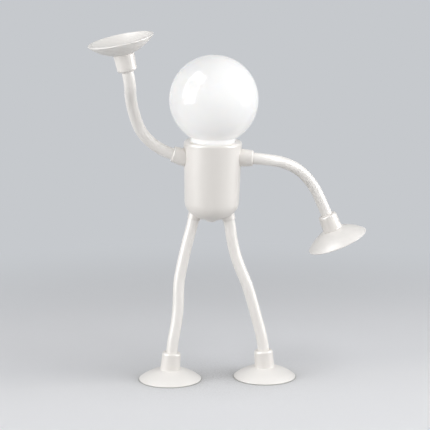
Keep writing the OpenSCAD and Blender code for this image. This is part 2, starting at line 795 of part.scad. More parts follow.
// What holds a cup in its collar: a disc under the collar and a plug inside it
module cup_neck() {
    translate([0, 0, -neck_disc_t]) cylinder(h = neck_disc_t - seat, r = ferrule_base_r - 0.1);
    translate([0, 0, -neck_disc_t]) cylinder(h = neck_disc_t + plug_h - fit, r = plug_r - fit);
}

// Hand cup: end is the placement where the tube enters the wrist collar
module hand_cup(end) {
    color("whitesmoke") multmatrix(end * shift([0, 0, ferrule_l])) {
        translate([0, 0, hand_h]) mirror([0, 0, 1]) rotate_extrude() cup_section(hand_h - seat, hand_bulge);
        mirror([0, 0, 1]) cup_neck();
    }
}

// Foot cup: flat on the surface, with its neck leaning as the collar does
module foot_cup(end) {
    stand = end * shift([0, 0, ferrule_l + neck_disc_t]);
    color("whitesmoke") {
        translate([origin_of(stand).x, origin_of(stand).y, 0]) rotate_extrude()
            cup_section(foot_h - 0.7, foot_bulge);
        multmatrix(end * shift([0, 0, ferrule_l])) mirror([0, 0, 1]) cup_neck();
    }
}

// Collar on the end of a tube: end is where the tube enters it, +Z towards the cup
module ferrule(end) {
    color("ivory") multmatrix(end) rotate_extrude() difference() {
        union() {
            polygon([[0, ferrule_lip], [ferrule_end_r, ferrule_lip], [ferrule_base_r, ferrule_l], [0, ferrule_l]]);
            translate([ferrule_end_r - ferrule_lip, ferrule_lip]) circle(r = ferrule_lip);
            square([ferrule_end_r - ferrule_lip, ferrule_lip + eps]);
        }
        translate([0, -1]) square([tube_r + tube_gap, tube_grip + 1 + seat]);
        translate([0, ferrule_l - plug_h]) square([plug_r, plug_h + 1]);
    }
}

// ---------------------------------------------------------------- limbs

module arm_tube(collar, bends, i) {
    tube(collar, arm_lengths, bends, i, i == 1 ? tube_grip : 0, i == 4 ? tube_grip : 0);
}

module leg_tube(place, lengths, bends, i) {
    tube(place, lengths, bends, i, i == 1 ? hip_tube_start - seat : 0, i == 5 ? tube_grip : 0);
}

left_hand_end = station(left_collar, arm_lengths, left_arm_bends, 5, 0);
right_hand_end = station(right_collar, arm_lengths, right_arm_bends, 5, 0);
left_foot_end = station(left_hip_place, leg_lengths, left_leg_bends, 6, 0);
right_foot_end = station(right_hip_place, right_leg_lengths, right_leg_bends, 6, 0);

module left_arm_tube(i) { arm_tube(left_collar, left_arm_bends, i); }
module right_arm_tube(i) { arm_tube(right_collar, right_arm_bends, i); }
module left_leg_tube(i) { leg_tube(left_hip_place, leg_lengths, left_leg_bends, i); }
module right_leg_tube(i) { leg_tube(right_hip_place, right_leg_lengths, right_leg_bends, i); }

torso_shell();
globe();
globe_holder();
led_board();
led_chips();
inner_screws();
battery_cradle();
battery_cell();
control_board();
board_parts();
usb_socket();
push_switch();
power_button();
button_spring();
shoulder_washer(left_collar);  // left_shoulder_washer
shoulder_pin(left_collar);  // left_shoulder_pin
shoulder_nut(left_collar);  // left_shoulder_nut
shoulder_collar(left_collar);  // left_shoulder_collar
left_arm_tube(1);  // left_upper_arm
left_arm_tube(2);  // left_elbow
left_arm_tube(3);  // left_forearm
left_arm_tube(4);  // left_wrist
wire(left_collar, arm_lengths, left_arm_bends, tube_grip);  // left_arm_wire
ferrule(left_hand_end);  // left_wrist_collar
hand_cup(left_hand_end);  // left_hand_cup
shoulder_washer(right_collar);  // right_shoulder_washer
shoulder_pin(right_collar);  // right_shoulder_pin
shoulder_nut(right_collar);  // right_shoulder_nut
shoulder_collar(right_collar);  // right_shoulder_collar
right_arm_tube(1);  // right_upper_arm
right_arm_tube(2);  // right_elbow
right_arm_tube(3);  // right_forearm
right_arm_tube(4);  // right_wrist
wire(right_collar, arm_lengths, right_arm_bends, tube_grip);  // right_arm_wire
ferrule(right_hand_end);  // right_wrist_collar
hand_cup(right_hand_end);  // right_hand_cup
hip_collar(left_hip_place);  // left_hip_collar
hip_clip(left_hip_place);  // left_hip_clip
left_leg_tube(1);  // left_hip
left_leg_tube(2);  // left_thigh
left_leg_tube(3);  // left_knee
left_leg_tube(4);  // left_shin
left_leg_tube(5);  // left_ankle
wire(left_hip_place, leg_lengths, left_leg_bends, hip_pocket + 1);  // left_leg_wire
ferrule(left_foot_end);  // left_ankle_collar
foot_cup(left_foot_end);  // left_foot_cup
hip_collar(right_hip_place);  // right_hip_collar
hip_clip(right_hip_place);  // right_hip_clip
right_leg_tube(1);  // right_hip
right_leg_tube(2);  // right_thigh
right_leg_tube(3);  // right_knee
right_leg_tube(4);  // right_shin
right_leg_tube(5);  // right_ankle
wire(right_hip_place, right_leg_lengths, right_leg_bends, hip_pocket + 1);  // right_leg_wire
ferrule(right_foot_end);  // right_ankle_collar
foot_cup(right_foot_end);  // right_foot_cup
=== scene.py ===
"""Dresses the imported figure-shaped desk lamp: its outer pieces, their finishes and the studio.

Shapes are drawn in millimetres in the frame of the piece they belong to. Every finished mesh is
in metres in the frame of the CAD model: +Z up, -Y to the front, -X to the left in that view.
"""

import functools
import json
import logging
import math
from collections.abc import Callable, Mapping, Sequence
from dataclasses import dataclass
from enum import Enum

import bmesh
import bpy
from mathutils import Matrix, Vector

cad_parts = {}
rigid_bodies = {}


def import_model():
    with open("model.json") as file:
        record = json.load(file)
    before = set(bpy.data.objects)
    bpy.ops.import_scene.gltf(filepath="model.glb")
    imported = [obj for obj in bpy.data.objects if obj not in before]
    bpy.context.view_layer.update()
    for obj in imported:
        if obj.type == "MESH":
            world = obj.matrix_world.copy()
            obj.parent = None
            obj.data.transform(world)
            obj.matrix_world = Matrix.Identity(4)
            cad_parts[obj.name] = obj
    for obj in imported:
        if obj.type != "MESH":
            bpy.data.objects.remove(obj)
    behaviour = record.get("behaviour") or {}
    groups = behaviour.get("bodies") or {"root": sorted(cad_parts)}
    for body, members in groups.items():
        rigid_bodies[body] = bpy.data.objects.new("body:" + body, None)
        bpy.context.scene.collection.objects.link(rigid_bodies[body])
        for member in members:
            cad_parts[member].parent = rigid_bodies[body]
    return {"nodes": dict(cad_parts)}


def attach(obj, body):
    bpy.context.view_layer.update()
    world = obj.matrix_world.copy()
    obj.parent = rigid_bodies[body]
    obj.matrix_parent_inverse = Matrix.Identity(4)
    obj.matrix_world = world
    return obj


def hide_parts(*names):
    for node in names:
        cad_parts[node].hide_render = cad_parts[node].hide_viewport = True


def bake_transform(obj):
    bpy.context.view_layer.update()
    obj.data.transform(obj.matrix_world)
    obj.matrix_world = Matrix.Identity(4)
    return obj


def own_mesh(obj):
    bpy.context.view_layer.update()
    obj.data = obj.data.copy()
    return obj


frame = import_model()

log = logging.getLogger("desk_lamp")

MM = 0.001  # in metres
MERGE = 1e-4  # in mm
FINE = 6.0  # degrees of arc between two points of an outline that is looked at closely
STRAIGHT = 2.0  # mm between two rings of a straight end
UP = (0.0, 0.0, 1.0)

BMesh = bmesh.types.BMesh
Pair = tuple[float, float]
Triple = tuple[float, float, float]
Colour = Triple
Station = tuple[int, float]  # number of a stretch and share along it


class Side(Enum):
    """A side of the lamp, seen from the front. The value is the sign of its X."""

    LEFT = -1
    RIGHT = 1

    @property
    def word(self) -> str:
        """The side's name, as the CAD nodes and bodies begin."""
        return self.name.lower()


# ---------- placements


def shift(x: float = 0.0, y: float = 0.0, z: float = 0.0) -> Matrix:
    """A move by so many millimetres along each axis."""
    return Matrix.Translation((x, y, z))


def turn(axis: str, degrees: float) -> Matrix:
    """A turn about one axis of the frame it is applied in."""
    return Matrix.Rotation(math.radians(degrees), 4, axis)


@dataclass(frozen=True)
class Stretch:
    """One evenly bent stretch of a limb: a roll about its start, then a bend towards +X."""

    length: float
    bend: float = 0.0
    roll: float = 0.0

    @property
    def radius(self) -> float:
        """Radius of the bend, in mm."""
        return self.length / math.radians(self.bend)

    def along(self, share: float = 1.0) -> Matrix:
        """Placement at a share of the length, seen from the rolled start.

        Args:
            share: How far along the stretch, from 0 to 1.

        Returns:
            The placement, with +Z along the limb.
        """
        if not self.bend:
            return shift(z=self.length * share)
        angle = math.radians(self.bend * share)
        across = self.radius * (1 - math.cos(angle))
        return shift(across, 0, self.radius * math.sin(angle)) @ turn("Y", self.bend * share)


@dataclass(frozen=True)
class Limb:
    """A bendable limb: the placement it starts at and its stretches in order."""

    start: Matrix
    stretches: tuple[Stretch, ...]

    def place(self, index: int, share: float = 0.0) -> Matrix:
        """Placement at a share of one stretch.

        Args:
            index: Number of the stretch.
            share: How far along it, from 0 to 1.

        Returns:
            The placement, with +Z along the limb.
        """
        here = self.start
        for stretch in self.stretches[:index]:
            here = here @ turn("Z", stretch.roll) @ stretch.along()
        stretch = self.stretches[index]
        return here @ turn("Z", stretch.roll) @ stretch.along(share)

    def point(self, index: int, share: float, beyond: float = 0.0) -> Vector:
        """A point on the limb's middle line, in metres, at or just beyond a share of a stretch."""
        return (self.place(index, share) @ shift(z=beyond)).translation * MM

    @property
    def end(self) -> Matrix:
        """Placement at the end of the last stretch."""
        return self.place(len(self.stretches) - 1, 1.0)


# ---------- shaping


class Lathe:
    """Half an outline, drawn by moving a pen in the XZ plane, then spun about +Z."""

    def __init__(self, radius: float, height: float, fineness: float = 9.0) -> None:
        """Sets the pen down.

        Args:
            radius: Distance from the axis, in mm.
            height: Height, in mm.
            fineness: Degrees of arc between two points of the outline.
        """
        self.mesh = bmesh.new()
        self.pen = self.mesh.verts.new((radius, 0.0, height))
        self.fineness = fineness

    def line(self, radius: float, height: float, parts: int = 1) -> "Lathe":
        """Draws a straight line to a point, in so many parts."""
        step = (Vector((radius, 0.0, height)) - self.pen.co) / parts
        for _ in range(parts):
            made = bmesh.ops.extrude_vert_indiv(self.mesh, verts=[self.pen])
            self.pen = made["verts"][0]
            bmesh.ops.translate(self.mesh, verts=[self.pen], vec=step)
        return self

    def arc(self, radius: float, height: float, degrees: float) -> "Lathe":
        """Draws an arc about a centre, anticlockwise where degrees is above 0."""
        made = bmesh.ops.spin(
            self.mesh, geom=[self.pen], cent=(radius, 0.0, height), axis=(0.0, -1.0, 0.0),
            angle=math.radians(degrees), steps=max(2, math.ceil(abs(degrees) / self.fineness)),
        )
        self.pen = next(v for v in made["geom_last"] if isinstance(v, bmesh.types.BMVert))
        return self

    def bow(self, radius: float, height: float, rise: float) -> "Lathe":
        """Draws an arc to a point.

        Args:
            radius: Distance of the end from the axis, in mm.
            height: Height of the end, in mm.
            rise: How far the arc stands off its chord, to the left of the way.

        Returns:
            The lathe.
        """
        start, end = self.pen.co.copy(), Vector((radius, 0.0, height))
        chord = end - start
        left = Vector((-chord.z, 0.0, chord.x)).normalized()
        bend_radius = (chord.length_squared / 4 + rise * rise) / (2 * abs(rise))
        centre = (start + end) / 2 + left * (rise - math.copysign(bend_radius, rise))
        degrees = 2 * math.degrees(math.asin(chord.length / 2 / bend_radius))
        coarse, self.fineness = self.fineness, self.fineness / 4
        self.arc(centre.x, centre.z, -math.copysign(degrees, rise))
        self.fineness = coarse
        return self

    def path(self, *corners: Triple) -> "Lathe":
        """Draws straight lines from corner to corner.

        Args:
            *corners: Radius, height and rounding of each corner. The last isn't rounded.

        Returns:
            The lathe.
        """
        for this, after in zip(corners, (*corners[1:], None)):
            corner = Vector((this[0], 0.0, this[1]))
            if after is None or this[2] <= 0:
                self.line(this[0], this[1])
                continue
            way_in = (corner - self.pen.co).normalized()
            way_out = (Vector((after[0], 0.0, after[1])) - corner).normalized()
            left = Vector((-way_in.z, 0.0, way_in.x))
            angle = math.copysign(way_in.angle(way_out), left.dot(way_out))
            begin = corner - way_in * this[2] * math.tan(abs(angle) / 2)
            centre = begin + left * math.copysign(this[2], angle)
            self.line(begin.x, begin.z).arc(centre.x, centre.z, math.degrees(angle))
        return self

    def turned(self, around: int = 96) -> BMesh:
        """Spins the outline all the way round.

        Args:
            around: Number of faces round the piece.

        Returns:
            The closed mesh, its faces pointing outwards.
        """
        mesh = self.mesh
        bmesh.ops.remove_doubles(mesh, verts=mesh.verts[:], dist=MERGE)
        bmesh.ops.spin(
            mesh, geom=mesh.verts[:] + mesh.edges[:], axis=UP, angle=math.tau, steps=around,
            use_merge=True,
        )
        bmesh.ops.remove_doubles(mesh, verts=mesh.verts[:], dist=MERGE)
        bmesh.ops.recalc_face_normals(mesh, faces=mesh.faces[:])
        return mesh


class Sweep:
    """Rings carried along a limb, which leave the wall of a tube or a wire behind them."""

    def __init__(
        self, limb: Limb, start: Station, lead: float, radii: Sequence[float], around: int
    ) -> None:
        """Sets the rings down.

        Args:
            limb: The limb to follow.
            start: Stretch and share at which the limb is entered.
            lead: Straight length before that, in mm.
            radii: Radius of each ring: one for a wire, or outside and inside of a tube.
            around: Number of points of each ring.
        """
        self.limb = limb
        self.hollow = len(radii) > 1
        self.mesh = bmesh.new()
        here = limb.place(*start) @ shift(z=-lead)
        for radius in radii:
            bmesh.ops.create_circle(
                self.mesh, cap_ends=False, radius=radius, segments=around, matrix=here
            )
        self.first = self.mesh.edges[:]
        self.front = self.mesh.verts[:] + self.mesh.edges[:]
        self.straight(here, lead)

    def straight(self, here: Matrix, length: float) -> None:
        """Carries the rings straight on along +Z of a placement."""
        if length <= 0:
            return
        steps = max(1, round(length / STRAIGHT))
        along = here.to_3x3() @ Vector((0.0, 0.0, length / steps))
        made = bmesh.ops.spin(self.mesh, geom=self.front, axis=UP, dvec=along, steps=steps)
        self.front = made["geom_last"]

    def bent(self, index: int, low: float, high: float, spacing: float) -> None:
        """Carries the rings along part of one stretch, in steps of about the spacing."""
        stretch = self.limb.stretches[index]
        here = self.limb.place(index, low)
        made = bmesh.ops.spin(
            self.mesh, geom=self.front, cent=here @ Vector((stretch.radius, 0.0, 0.0)),
            axis=here.to_3x3() @ Vector((0.0, 1.0, 0.0)),
            angle=math.radians(stretch.bend * (high - low)),
            steps=max(4, round(stretch.length * (high - low) / spacing)),
        )
        self.front = made["geom_last"]

    def follow(self, start: Station, end: Station, spacing: float) -> "Sweep":
        """Carries the rings from one place on the limb to another."""
        for index in range(start[0], end[0] + 1):
            low = start[1] if index == start[0] else 0.0
            high = end[1] if index == end[0] else 1.0
            self.bent(index, low, high, spacing)
        return self

    def closed(self) -> BMesh:
        """Closes both ends, between the two rings of a tube or across a wire's single one."""
        last = [part for part in self.front if isinstance(part, bmesh.types.BMEdge)]
        for rings in (self.first, last):
            if self.hollow:
                bmesh.ops.bridge_loops(self.mesh, edges=rings)
            else:
                bmesh.ops.contextual_create(self.mesh, geom=rings)
        bmesh.ops.recalc_face_normals(self.mesh, faces=self.mesh.faces[:])
        return self.mesh


def stored(mesh: BMesh, name: str) -> bpy.types.Mesh:
    """Turns a working mesh, which is used up, into mesh data of that name."""
    data = bpy.data.meshes.new(name)
    mesh.to_mesh(data)
    mesh.free()
    return data


def linked(name: str, data: bpy.types.ID) -> bpy.types.Object:
    """Puts a new object of that name into the scene."""
    obj = bpy.data.objects.new(name, data)
    bpy.context.scene.collection.objects.link(obj)
    return obj


def welded(mesh: BMesh, other: BMesh) -> BMesh:
    """Adds a second mesh, which is used up, and closes the seam between the two."""
    data = stored(other, "other")
    mesh.from_mesh(data)
    bpy.data.meshes.remove(data)
    bmesh.ops.remove_doubles(mesh, verts=mesh.verts[:], dist=MERGE)
    bmesh.ops.recalc_face_normals(mesh, faces=mesh.faces[:])
    return mesh


def joined(*meshes: BMesh) -> BMesh:
    """Fuses two closed meshes, which are used up, into one."""
    parts = [linked("part", stored(mesh, "part")) for mesh in meshes]
    fuse = parts[0].modifiers.new("Fuse", "BOOLEAN")
    fuse.operation, fuse.solver, fuse.object = "UNION", "EXACT", parts[1]
    graph = bpy.context.evaluated_depsgraph_get()
    fused = bpy.data.meshes.new_from_object(parts[0].evaluated_get(graph))
    made = bmesh.new()
    made.from_mesh(fused)
    bmesh.ops.remove_doubles(made, verts=made.verts[:], dist=MERGE)
    bpy.data.batch_remove([*parts, *(part.data for part in parts), fused])
    return made


# ---------- shader maths


def _operator(operation: str, swapped: bool = False) -> Callable[["Flow", "Value"], "Flow"]:
    """A socket's method for one operator, with the socket on its right where swapped."""
    def method(self: "Flow", other: "Value") -> "Flow":
        """Adds a Math node for the operator."""
        one, two = (other, self) if swapped else (self, other)
        return self.kit.node("ShaderNodeMath", {"operation": operation}, {0: one, 1: two})

    return method


class Flow:
    """An output socket of a material. Plain arithmetic on it adds Math nodes."""

    def __init__(self, kit: "Kit", socket: bpy.types.NodeSocket | None) -> None:
        self.kit = kit
        self.socket = socket

    __add__ = _operator("ADD")
    __radd__ = _operator("ADD", swapped=True)
    __sub__ = _operator("SUBTRACT")
    __rsub__ = _operator("SUBTRACT", swapped=True)
    __mul__ = _operator("MULTIPLY")
    __rmul__ = _operator("MULTIPLY", swapped=True)
    __gt__ = _operator("GREATER_THAN")
    most = _operator("MAXIMUM")


Value = Flow | float | int | tuple


class Kit:
    """A new material, or a world, and the nodes that are put into it."""

    def __init__(self, name: str, world: bpy.types.World | None = None) -> None:
        """Starts an empty material of that name, or empties the world."""
        self.material = world or bpy.data.materials.new(name)
        self.material.use_nodes = True
        self.tree = self.material.node_tree
        self.tree.nodes.clear()

    def node(
        self, kind: str, settings: Mapping[str, object] | None = None,
        inputs: Mapping[int | str, Value] | None = None, output: int | str = 0,
    ) -> Flow:
        """Adds a node.

        Args:
            kind: Blender's name for the type of node.
            settings: Its settings, and the stops of a colour ramp. They are set first.
            inputs: Values or links for its sockets, by name or number.
            output: The output to go on from.

        Returns:
            That output.
        """
        made = self.tree.nodes.new(kind)
        for name, value in (settings or {}).items():
            if name == "stops":
                self._stops(made.color_ramp.elements, value)
            else:
                setattr(made, name, value)
        for name, value in (inputs or {}).items():
            if isinstance(value, Flow):
                self.tree.links.new(value.socket, made.inputs[name])
            else:
                made.inputs[name].default_value = value
        return Flow(self, made.outputs[output] if len(made.outputs) else None)

    @staticmethod
    def _stops(elements: bpy.types.ColorRampElements, stops: list[tuple[float, Colour]]) -> None:
        """Sets a ramp's stops."""
        while len(elements) < len(stops):
            elements.new(1.0)
        for element, (position, colour) in zip(elements, stops):
            element.position, element.color = position, (*colour, 1.0)

    def place(self) -> Flow:
        """Object coordinates, in metres."""
        return self.node("ShaderNodeTexCoord", output="Object")

    def noise(self, size: float, detail: float = 2.0, stretch: Triple = (1, 1, 1)) -> Flow:
        """Soft noise from about 0 to 1, with lumps of about that size in mm."""
        vector = self.node("ShaderNodeMapping", inputs={"Vector": self.place(), "Scale": stretch})
        return self.node(
            "ShaderNodeTexNoise",
            inputs={"Vector": vector, "Scale": 1 / (size * MM), "Detail": detail},
        )

    def rise(self, value: Value, low: float, high: float, easing: str = "SMOOTHSTEP") -> Flow:
        """A share that goes from 0 to 1 while a value goes from low to high."""
        return self.node(
            "ShaderNodeMapRange", {"interpolation_type": easing},
            {"Value": value, "From Min": low, "From Max": high},
        )

    def mixed(self, share: Value, one: Colour | Flow, other: Colour | Flow) -> Flow:
        """A colour between two, by a share from 0 to 1."""
        ends = [end if isinstance(end, Flow) else (*end, 1.0) for end in (one, other)]
        return self.node(
            "ShaderNodeMix", {"data_type": "RGBA"}, {0: share, 6: ends[0], 7: ends[1]}, output=2
        )

    def seen(self) -> Flow:
        """1 for rays from the camera, from a gloss or through glass, otherwise 0."""
        rays = [
            self.node("ShaderNodeLightPath", output=f"Is {kind} Ray")
            for kind in ("Camera", "Glossy", "Transmission")
        ]
        return rays[0].most(rays[1]).most(rays[2])

    def bump(self, height: Flow, depth: float) -> Flow:
        """A bumped normal, from a height of 0 to 1 and its depth in mm."""
        return self.node("ShaderNodeBump", inputs={"Distance": depth * MM, "Height": height})

    def finish(self, inputs: Mapping[str, Value]) -> bpy.types.Material:
        """Ends the material with a Principled BSDF that has these inputs."""
        shader = self.node("ShaderNodeBsdfPrincipled", inputs=inputs)
        self.node("ShaderNodeOutputMaterial", inputs={"Surface": shader})
        return self.material


# ---------- finishes


@dataclass(frozen=True)
class Moulded:
    """Moulded plastic or silicone: a tint that drifts slightly over a fine even grain.

    The roughness strays by the spread. Grain, drift and depth are sizes in mm. A painted glow is
    emission that lightens a part which is no lamp.
    """

    name: str
    colour: Colour
    shade: Colour
    roughness: float
    spread: float
    grain: float
    depth: float
    drift: float = 14.0
    coat: float = 0.0
    coat_roughness: float = 0.04
    subsurface: float = 0.0
    depth_of_light: float = 2.0
    # painted glow: emission strength that lightens the part as if it were lit
    glow: float = 0.0
    glow_colour: Colour = (1.0, 0.995, 0.985)
    shine: float = 0.5

    @functools.cache
    def material(self) -> bpy.types.Material:
        """The finish as a material."""
        kit = Kit(self.name)
        broad = kit.noise(self.drift, 3.0)
        fine = kit.noise(self.grain, 3.0)
        inputs: dict[str, Value] = {
            "Base Color": kit.mixed(broad, self.colour, self.shade),
            "Roughness": self.roughness + (fine - 0.5 + (broad - 0.5)) * self.spread,
            "Normal": kit.bump(fine, self.depth),
            "IOR": 1.48, "Specular IOR Level": self.shine,
        }
        if self.coat:
            inputs |= {"Coat Weight": self.coat, "Coat Roughness": self.coat_roughness}
        if self.subsurface:
            inputs |= {
                "Subsurface Weight": self.subsurface, "Subsurface Radius": (1.0, 0.85, 0.7),
                "Subsurface Scale": self.depth_of_light * MM,
            }
        # painted glow: the part emits light although it is no lamp
        if self.glow:
            inputs |= {
                "Emission Color": (*self.glow_colour, 1.0), "Emission Strength": self.glow,
            }
            kit.material.cycles.emission_sampling = "NONE"
        return kit.finish(inputs)


@dataclass(frozen=True)
class Steel:
    """Pressed or turned steel with fine scratches along one axis, and darker dull spots."""

    name: str
    colour: Colour
    roughness: float
    scratch: float = 0.25
    spot: float = 4.0
    darker: float = 0.8

    @functools.cache
    def material(self) -> bpy.types.Material:
        """The finish as a material."""
        kit = Kit(self.name)
        lines = kit.noise(self.scratch, 2.0, (1.0, 0.08, 1.0))
        dull = kit.noise(self.spot, 2.0)
        dark = tuple(channel * self.darker for channel in self.colour)
        return kit.finish({
            "Base Color": kit.mixed(dull, self.colour, dark),
            "Metallic": 1.0,
            "Roughness": self.roughness + lines * 0.12 + dull * 0.08,
            "Normal": kit.bump(lines, 0.01),
        })


@dataclass(frozen=True)
class Laminate:
    """A lacquered circuit board with copper tracks. Their width is a share of their pitch."""

    name: str
    lacquer: Colour
    track: Colour
    pitch: float = 1.6
    width: float = 0.12

    @functools.cache
    def material(self) -> bpy.types.Material:
        """The finish as a material."""
        kit = Kit(self.name)
        cells = kit.node(
            "ShaderNodeTexVoronoi", {"feature": "DISTANCE_TO_EDGE"},
            {"Vector": kit.place(), "Scale": 1 / (self.pitch * MM), "Randomness": 0.35},
        )
        tracks = 1 - (cells > self.width)
        weave = kit.noise(0.3, 2.0)
        return kit.finish({
            "Base Color": kit.mixed(tracks * 0.8, self.lacquer, self.track),
            "Roughness": 0.32 + weave * 0.12,
            "Normal": kit.bump(tracks + weave * 0.3, 0.03),
        })


class Finishes:
    """Every finish of the lamp, by the record's material slot."""

    BY_SLOT = {
        "shell_plastic": Moulded(
            "warm white shell plastic", (0.870, 0.837, 0.800), (0.858, 0.824, 0.785),
            0.36, 0.08, 0.32, 0.002, coat=0.6, coat_roughness=0.34, shine=1.0,
        ),
        # the globe carries a painted glow, emission that lightens it as if it were lit
        "opal_globe": Moulded(
            "glossy opal globe", (0.85, 0.852, 0.855), (0.84, 0.843, 0.847),
            0.14, 0.04, 6.0, 0.006, coat=0.3, subsurface=0.3, glow=0.20,
        ),
        "inner_plastic": Moulded(
            "white inner plastic", (0.80, 0.79, 0.77), (0.76, 0.75, 0.73), 0.52, 0.12, 0.5, 0.015
        ),
        "button_plastic": Moulded(
            "satin button plastic", (0.87, 0.845, 0.812), (0.855, 0.828, 0.794),
            0.40, 0.08, 0.28, 0.002,
        ),
        "tube_silicone": Moulded(
            "matt silicone sleeve", (0.935, 0.908, 0.876), (0.922, 0.894, 0.860),
            0.40, 0.08, 0.45, 0.0015, coat=0.35, coat_roughness=0.30, shine=0.9,
        ),
        "cup_silicone": Moulded(
            "smooth silicone cup", (0.908, 0.886, 0.858), (0.894, 0.870, 0.840),
            0.40, 0.08, 0.9, 0.0015, shine=0.8,
        ),
        "switch_plastic": Moulded(
            "black switch plastic", (0.03, 0.03, 0.032), (0.045, 0.045, 0.05), 0.45, 0.12, 0.3, 0.01
        ),
        "chip": Moulded(
            "moulded chip", (0.025, 0.025, 0.027), (0.04, 0.04, 0.042), 0.5, 0.15, 0.2, 0.01
        ),
        "led": Moulded(
            "yellow light chip", (0.86, 0.66, 0.16), (0.80, 0.58, 0.12), 0.3, 0.1, 0.4, 0.01,
            subsurface=0.2,
        ),
        "battery_wrap": Moulded(
            "grey battery wrap", (0.30, 0.36, 0.46), (0.26, 0.32, 0.42), 0.3, 0.15, 1.5, 0.05,
            coat=0.2,
        ),
        "circuit_board": Laminate("green board lacquer", (0.02, 0.11, 0.05), (0.06, 0.22, 0.10)),
        "led_board": Laminate("white board lacquer", (0.78, 0.78, 0.77), (0.70, 0.70, 0.68), 2.4),
        "steel": Steel("bright steel", (0.62, 0.61, 0.60), 0.24),
        "spring_steel": Steel("spring steel", (0.55, 0.54, 0.53), 0.20),
        "port_metal": Steel("port shell", (0.66, 0.66, 0.67), 0.26),
        "wire": Steel("soft limb wire", (0.60, 0.60, 0.61), 0.34),
    }

    @classmethod
    def of(cls, slot: str) -> bpy.types.Material:
        """The material for a slot of the record."""
        return cls.BY_SLOT[slot].material()


# ---------- finished pieces


@dataclass(frozen=True)
class Stock:
    """What a finished piece is called, is made of and stands for.

    Edges that turn by less than the sharp angle, in degrees, are shaded smooth.
    """

    name: str
    slot: str
    nodes: tuple[str, ...]
    sharp: float = 35.0

    def piece(self, mesh: BMesh, place: Matrix) -> bpy.types.Object:
        """Turns a mesh in millimetres into a finished object in metres, at the origin.

        Args:
            mesh: The mesh, which is used up.
            place: Where its own frame lies in the lamp.

        Returns:
            The object, dressed and smooth, not yet on a body.
        """
        bmesh.ops.transform(mesh, matrix=Matrix.Scale(MM, 4) @ place, verts=mesh.verts[:])
        crease = math.radians(self.sharp)
        for face in mesh.faces:
            face.smooth = True
        for edge in mesh.edges:
            edge.smooth = edge.calc_face_angle(0.0) < crease
        data = stored(mesh, self.name)
        data.materials.append(Finishes.of(self.slot))
        obj = linked(self.name, data)
        even = obj.modifiers.new("Even shading", "WEIGHTED_NORMAL")
        even.keep_sharp = True
        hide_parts(*self.nodes)
        log.info("%s: %d faces, for %s", self.name, len(data.polygons), ", ".join(self.nodes))
        return obj

    def riding(self, mesh: BMesh, place: Matrix, body: str) -> bpy.types.Object:
        """Makes the piece and puts it on a body."""
        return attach(self.piece(mesh, place), body)


# ---------- torso and globe


@dataclass(frozen=True)
class Torso:
    """The cup-shaped body, with the places of all that is fixed to it."""

    foot_point: Triple = (-15.2, 11.0, 113.206)
    lean_side: float = 1.2
    lean_front: float = 2.8
    shoulder_up: float = 45.2
    ball_reach: float = 21.9
    socket_front: float = 6.0
    hip_out: float = 11.8
    hip_up: float = 2.7
    hip_splay: float = 13.0

    @property
    def place(self) -> Matrix:
        """The torso's frame: its lowest point, +Z along its axis."""
        return shift(*self.foot_point) @ turn("Y", self.lean_side) @ turn("X", self.lean_front)

    def socket(self, side: Side, tilt: float) -> Matrix:
        """Placement of a shoulder collar at its ball's centre, tilted in its socket."""
        front = -self.socket_front if side is Side.RIGHT else 180 + self.socket_front
        out = shift(z=self.shoulder_up) @ turn("Z", front) @ shift(x=self.ball_reach)
        return self.place @ out @ turn("Y", 90) @ turn("Z", 180) @ turn("Y", tilt)

    def hip(self, side: Side) -> Matrix:
        """Placement of a hip ring, +Z down the leg."""
        return self.place @ shift(side.value * self.hip_out, 0, self.hip_up) @ turn(
            "Y", 180 - side.value * self.hip_splay
        )


@dataclass(frozen=True)
class Globe:
    """The opal head with its short neck."""

    torso: Torso
    middle: float = 84.8856
    radius: float = 30.0
    wall: float = 1.2
    neck_radius: float = 15.5
    neck_bore: float = 14.1
    neck_low: float = 53.4
    fillet: float = 1.2
    fineness: float = 3.0
    around: int = 160

    def build(self) -> None:
        """Turns the globe and its neck in one piece, with a soft corner between them."""
        inner = self.radius - self.wall
        reach = self.neck_radius + self.fillet
        corner_up = self.middle - math.sqrt((self.radius + self.fillet) ** 2 - reach ** 2)
        lean = math.degrees(math.atan2(self.middle - corner_up, reach))
        bore = math.degrees(math.asin(self.neck_bore / inner))
        inside = Lathe(0.0, self.middle + inner, self.fineness)
        inside.arc(0.0, self.middle, -(180 - bore))
        inside.line(self.neck_bore, self.neck_low)
        outside = Lathe(self.neck_bore, self.neck_low, self.fineness)
        outside.path((self.neck_radius, self.neck_low, 0.3), (self.neck_radius, corner_up, 0.0))
        outside.arc(reach, corner_up, lean - 180)
        outside.arc(0.0, self.middle, 90 + lean)
        outside.line(0.0, self.middle + self.radius)
        shell = welded(outside.turned(self.around), inside.turned(self.around))
        bmesh.ops.reverse_faces(shell, faces=shell.faces[:])
        Stock("opal_globe", "opal_globe", ("globe",)).riding(shell, self.torso.place, "torso")


